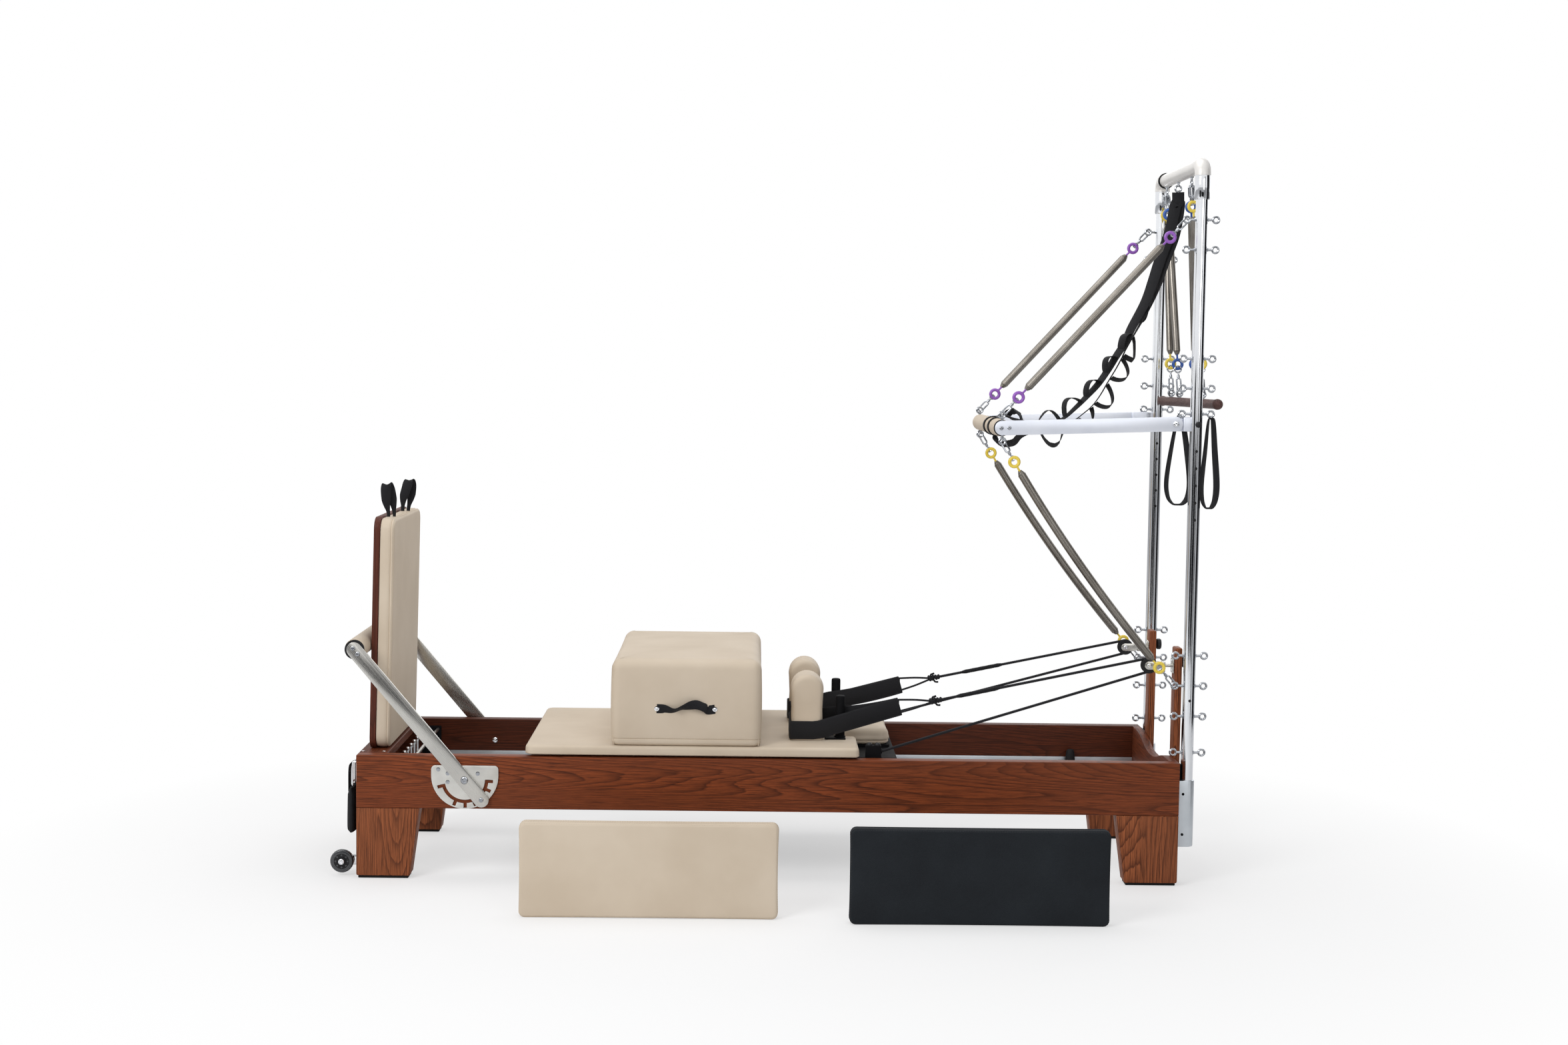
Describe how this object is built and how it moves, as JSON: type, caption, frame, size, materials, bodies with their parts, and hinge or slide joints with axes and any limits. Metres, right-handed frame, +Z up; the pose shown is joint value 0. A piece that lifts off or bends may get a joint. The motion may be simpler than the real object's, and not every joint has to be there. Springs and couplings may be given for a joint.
{
  "type": "pilates reformer with half tower",
  "caption": "Wooden pilates reformer with a sprung half tower, sliding carriage, footbar, jump board, sitting box and two filler mats standing in front.",
  "frame": {"origin": "on the floor, under the middle of the whole set's length and width", "axes": "+X along the frame towards the tower, +Y away from the filler mats, +Z up"},
  "size_m": [2.5948, 1.1974, 2.118],
  "materials": {
    "wood": "satin varnish, straight grain",
    "dark_wood": "satin varnish, dark stain",
    "aluminium": "satin",
    "cream_metal": "satin paint",
    "chrome": "polished",
    "brushed_steel": "brushed",
    "black_metal": "satin paint",
    "black_plastic": "matte",
    "tyre": "smooth rubber",
    "spring_steel": "drawn wire",
    "cream_upholstery": "fine grain, matte",
    "dark_upholstery": "fine grain, matte",
    "webbing": "woven webbing",
    "rope": "braided rope"
  },
  "bodies": {
    "frame": {"near_rail": "wood", "foot_near_leg": "wood", "head_near_leg": "wood", "near_track": "aluminium", "far_rail": "wood", "foot_far_leg": "wood", "head_far_leg": "wood", "far_track": "aluminium", "foot_end_board": "wood", "head_end_panel": "wood", "spring_bar": "chrome", "near_quadrant_plate": "brushed_steel", "far_quadrant_plate": "brushed_steel", "near_socket": "aluminium", "near_upright": "chrome", "far_socket": "aluminium", "far_upright": "chrome", "top_crossbar": "cream_metal", "near_upper_push_spring": "spring_steel", "near_lower_push_spring": "spring_steel", "far_upper_push_spring": "spring_steel", "far_lower_push_spring": "spring_steel", "near_outer_roll_spring": "spring_steel", "near_inner_roll_spring": "spring_steel", "far_inner_roll_spring": "spring_steel", "far_outer_roll_spring": "spring_steel", "outer_hand_loop": "webbing", "inner_hand_loop": "webbing", "daisy_straps": "webbing", "near_riser": "wood", "near_pulley_block": "brushed_steel", "far_riser": "wood", "far_pulley_block": "brushed_steel"},
    "carriage": {"carriage_frame": "black_metal", "carriage_pad": "cream_upholstery", "carriage_springs": "spring_steel", "near_rope": "rope", "far_rope": "rope"},
    "foot_axle": {"foot_wheel_axle": "chrome"},
    "head_axle": {"head_wheel_axle": "chrome"},
    "headrest": {"headrest": "cream_upholstery"},
    "near_shoulder": {"near_shoulder_rest": "cream_upholstery", "near_strap_post": "chrome"},
    "far_shoulder": {"far_shoulder_rest": "cream_upholstery", "far_strap_post": "chrome"},
    "sitting_box": {"sitting_box": "cream_upholstery"},
    "jump_board": {"jump_board": "cream_upholstery"},
    "footbar": {"near_footbar_arm": "brushed_steel", "far_footbar_arm": "brushed_steel", "footbar_roll": "cream_upholstery"},
    "push_bar": {"near_push_arm": "aluminium", "far_push_arm": "aluminium", "push_bar_grip": "cream_upholstery"},
    "roll_bar": {"roll_down_bar": "dark_wood"},
    "near_sheave": {"near_pulley_sheave": "black_plastic"},
    "far_sheave": {"far_pulley_sheave": "black_plastic"},
    "near_transport": {"near_transport_wheel": "tyre"},
    "far_transport": {"far_transport_wheel": "tyre"},
    "pale_mat": {"pale_mat": "cream_upholstery"},
    "dark_mat": {"dark_mat": "dark_upholstery"}
  },
  "joints": [
    {"name": "carriage_slide", "type": "slide", "parent": "frame", "child": "carriage", "axis": [1, 0, 0], "range_m": [0, 0.584], "stiffness_N_per_m": 400, "springref_m": -0.1, "deforming": ["carriage_springs", "near_rope", "far_rope"]},
    {"name": "foot_axle_turn", "type": "hinge", "parent": "carriage", "child": "foot_axle", "pos_m": [-0.63635, 0.23125, 0.2416], "axis": [0, 1, 0], "continuous": true},
    {"name": "head_axle_turn", "type": "hinge", "parent": "carriage", "child": "head_axle", "pos_m": [0.16865, 0.23125, 0.2416], "axis": [0, 1, 0], "continuous": true},
    {"name": "headrest_tilt", "type": "hinge", "parent": "carriage", "child": "headrest", "pos_m": [0.15365, 0.23125, 0.4], "axis": [0, -1, 0], "range_deg": [0, 30]},
    {"name": "near_shoulder_lift", "type": "slide", "parent": "carriage", "child": "near_shoulder", "axis": [0, 0, 1], "range_m": [0, 0.25]},
    {"name": "far_shoulder_lift", "type": "slide", "parent": "carriage", "child": "far_shoulder", "axis": [0, 0, 1], "range_m": [0, 0.25]},
    {"name": "sitting_box_lift", "type": "slide", "parent": "carriage", "child": "sitting_box", "axis": [0, 0, 1], "range_m": [0, 0.4]},
    {"name": "jump_board_lift", "type": "slide", "parent": "frame", "child": "jump_board", "axis": [0.0209, 0, 0.9998], "range_m": [0, 0.3]},
    {"name": "footbar_hinge", "type": "hinge", "parent": "frame", "child": "footbar", "pos_m": [-0.90035, 0.23125, 0.294], "axis": [0, -1, 0], "range_deg": [0, 46.8]},
    {"name": "push_bar_hinge", "type": "hinge", "parent": "frame", "child": "push_bar", "pos_m": [1.15165, 0.23125, 1.353], "axis": [0, 1, 0], "range_deg": [-45, 45], "stiffness_Nm_per_rad": 60, "springref_deg": 11.46, "deforming": ["near_upper_push_spring", "near_lower_push_spring", "far_upper_push_spring", "far_lower_push_spring", "daisy_straps"]},
    {"name": "roll_bar_drop", "type": "slide", "parent": "frame", "child": "roll_bar", "axis": [0, 0, -1], "range_m": [0, 0.5], "stiffness_N_per_m": 600, "springref_m": -0.05, "deforming": ["near_outer_roll_spring", "near_inner_roll_spring", "far_inner_roll_spring", "far_outer_roll_spring"]},
    {"name": "near_sheave_turn", "type": "hinge", "parent": "frame", "child": "near_sheave", "pos_m": [1.11065, 0.02325, 0.6325], "axis": [0, 1, 0], "continuous": true},
    {"name": "far_sheave_turn", "type": "hinge", "parent": "frame", "child": "far_sheave", "pos_m": [1.11065, 0.43925, 0.6325], "axis": [0, 1, 0], "continuous": true},
    {"name": "near_transport_turn", "type": "hinge", "parent": "frame", "child": "near_transport", "pos_m": [-1.26335, -0.08375, 0.043], "axis": [0, 1, 0], "continuous": true},
    {"name": "far_transport_turn", "type": "hinge", "parent": "frame", "child": "far_transport", "pos_m": [-1.26335, 0.54625, 0.043], "axis": [0, 1, 0], "continuous": true},
    {"name": "pale_mat_lift", "type": "slide", "parent": "frame", "child": "pale_mat", "axis": [0, 0, 1], "range_m": [0, 0.3]},
    {"name": "dark_mat_lift", "type": "slide", "parent": "frame", "child": "dark_mat", "axis": [0, 0, 1], "range_m": [0, 0.3]}
  ],
  "couplings": [
    {"joint": "foot_axle_turn", "follows": "carriage_slide", "rad_per_m": 45.455},
    {"joint": "head_axle_turn", "follows": "carriage_slide", "rad_per_m": 45.455}
  ]
}
